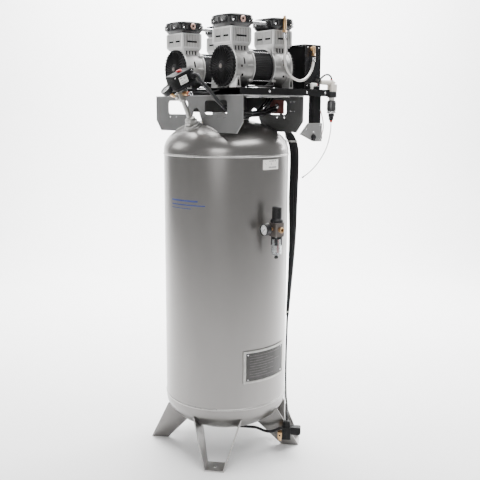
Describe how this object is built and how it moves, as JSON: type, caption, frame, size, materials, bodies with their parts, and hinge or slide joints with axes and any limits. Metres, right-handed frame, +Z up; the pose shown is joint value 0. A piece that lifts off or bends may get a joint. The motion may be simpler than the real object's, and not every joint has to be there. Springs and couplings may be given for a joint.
{
  "type": "vertical tank air compressor",
  "caption": "Upright silver air tank on splayed legs with a sheet-metal deck of twin-head oil-free pumps, a pressure switch, a filter regulator, an aftercooler and an automatic drain.",
  "frame": {"origin": "bottom centre of the whole object's box, on the floor; the tank's axis is 22.5 mm towards -X and 26.5 mm towards -Y of it", "axes": "+Z up along the tank; +X towards the regulator and data plate side; -Y towards the pressure switch, along the pump shafts"},
  "size_m": [0.645, 0.682, 1.768],
  "materials": {
    "silver_paint": "metallic silver, satin, faint orange peel",
    "grey_paint": "light grey metallic powder coat",
    "plate_steel": "dull dark face with bright rims",
    "black_paint": "gloss black",
    "black_plastic": "moulded, satin",
    "cast_aluminium": "die cast, fine grain",
    "bright_steel": "plated",
    "brass": "machined",
    "braid": "woven wire braid",
    "white_plastic": "moulded",
    "red_plastic": "moulded",
    "clear_plastic": "clear polycarbonate",
    "cable_rubber": "satin cable sheath",
    "white_tube": "translucent nylon tube"
  },
  "bodies": {
    "frame": {"tank_shell": "silver_paint", "tank_top_head": "silver_paint", "tank_bottom_head": "silver_paint", "leg_front_right": "silver_paint", "leg_front_left": "silver_paint", "leg_rear_left": "silver_paint", "leg_rear_right": "silver_paint", "deck_top": "grey_paint", "deck_front_plate": "grey_paint", "deck_rear_plate": "grey_paint", "data_plate": "plate_steel", "pump_base_left": "black_paint", "pump_base_right": "black_paint", "aftercooler": "black_paint", "stator_left": "black_paint", "balance_tube_left": "bright_steel", "crankcase_left_front": "cast_aluminium", "cylinder_left_front": "cast_aluminium", "head_left_front": "black_paint", "crankcase_left_rear": "cast_aluminium", "cylinder_left_rear": "cast_aluminium", "head_left_rear": "black_paint", "stator_right": "black_paint", "balance_tube_right": "bright_steel", "crankcase_right_front": "cast_aluminium", "cylinder_right_front": "cast_aluminium", "head_right_front": "black_paint", "crankcase_right_rear": "cast_aluminium", "cylinder_right_rear": "cast_aluminium", "head_right_rear": "black_paint", "braided_hose": "braid", "filter_head": "white_plastic", "filter_bowl": "black_plastic", "riser_manifold": "bright_steel", "pressure_switch": "black_plastic", "tank_gauge": "black_plastic", "regulator_body": "cast_aluminium", "regulator_gauge": "black_plastic", "regulator_bowl": "clear_plastic", "drain_valve": "black_plastic", "supply_cable": "cable_rubber", "cable_trunk": "cable_rubber", "purge_tube": "white_tube"},
    "rotor_left": {"shaft_left": "bright_steel", "fan_left_front": "black_plastic", "fan_left_rear": "black_plastic"},
    "rotor_right": {"shaft_right": "bright_steel", "fan_right_front": "black_plastic", "fan_right_rear": "black_plastic"},
    "cooler_rotor": {"aftercooler_fan": "black_plastic"},
    "tank_needle": {"tank_gauge_needle": "red_plastic"},
    "regulator_needle": {"regulator_gauge_needle": "red_plastic"},
    "lever": {"switch_lever": "red_plastic"},
    "relief_pull": {"relief_ring": "bright_steel"},
    "knob": {"regulator_knob": "black_plastic"},
    "drain_cock": {"bowl_drain": "black_plastic"},
    "rocker_left_front": {"piston_left_front": "cast_aluminium"},
    "rocker_left_rear": {"piston_left_rear": "cast_aluminium"},
    "rocker_right_front": {"piston_right_front": "cast_aluminium"},
    "rocker_right_rear": {"piston_right_rear": "cast_aluminium"}
  },
  "joints": [
    {"name": "left_shaft_turn", "type": "hinge", "parent": "frame", "child": "rotor_left", "pos_m": [-0.1775, -0.02653, 1.5765], "axis": [0, 1, 0], "continuous": true},
    {"name": "left_front_piston_stroke", "type": "slide", "parent": "frame", "child": "rocker_left_front", "axis": [0, 0, 1], "range_m": [-0.006, 0.006]},
    {"name": "left_rear_piston_stroke", "type": "slide", "parent": "frame", "child": "rocker_left_rear", "axis": [0, 0, 1], "range_m": [-0.006, 0.006]},
    {"name": "right_shaft_turn", "type": "hinge", "parent": "frame", "child": "rotor_right", "pos_m": [0.1455, -0.02653, 1.5765], "axis": [0, 1, 0], "continuous": true},
    {"name": "right_front_piston_stroke", "type": "slide", "parent": "frame", "child": "rocker_right_front", "axis": [0, 0, 1], "range_m": [-0.006, 0.006]},
    {"name": "right_rear_piston_stroke", "type": "slide", "parent": "frame", "child": "rocker_right_rear", "axis": [0, 0, 1], "range_m": [-0.006, 0.006]},
    {"name": "cooler_fan_turn", "type": "hinge", "parent": "frame", "child": "cooler_rotor", "pos_m": [0.119, 0.26047, 1.585], "axis": [0, 1, 0], "continuous": true},
    {"name": "tank_needle_turn", "type": "hinge", "parent": "frame", "child": "tank_needle", "pos_m": [-0.0045, -0.32654, 1.492], "axis": [0, 0.7413, -0.6712], "range_deg": [0, 270]},
    {"name": "regulator_needle_turn", "type": "hinge", "parent": "frame", "child": "regulator_needle", "pos_m": [0.2895, -0.08253, 0.969], "axis": [0, 1, 0], "range_deg": [0, 270]},
    {"name": "switch_lever_turn", "type": "hinge", "parent": "frame", "child": "lever", "pos_m": [-0.00021, -0.26317, 1.55731], "axis": [0.0292, -0.4185, 0.9077], "range_deg": [0, 70]},
    {"name": "relief_ring_pull", "type": "slide", "parent": "frame", "child": "relief_pull", "axis": [0.9996, 0.0122, -0.0265], "range_m": [0, 0.004], "stiffness_N_per_m": 800},
    {"name": "regulator_knob_turn", "type": "hinge", "parent": "frame", "child": "knob", "pos_m": [0.2895, -0.01654, 1], "axis": [0, 0, 1], "range_deg": [-720, 720]},
    {"name": "bowl_drain_turn", "type": "hinge", "parent": "frame", "child": "drain_cock", "pos_m": [0.2895, -0.01654, 0.86], "axis": [0, 0, 1], "range_deg": [0, 180]}
  ]
}
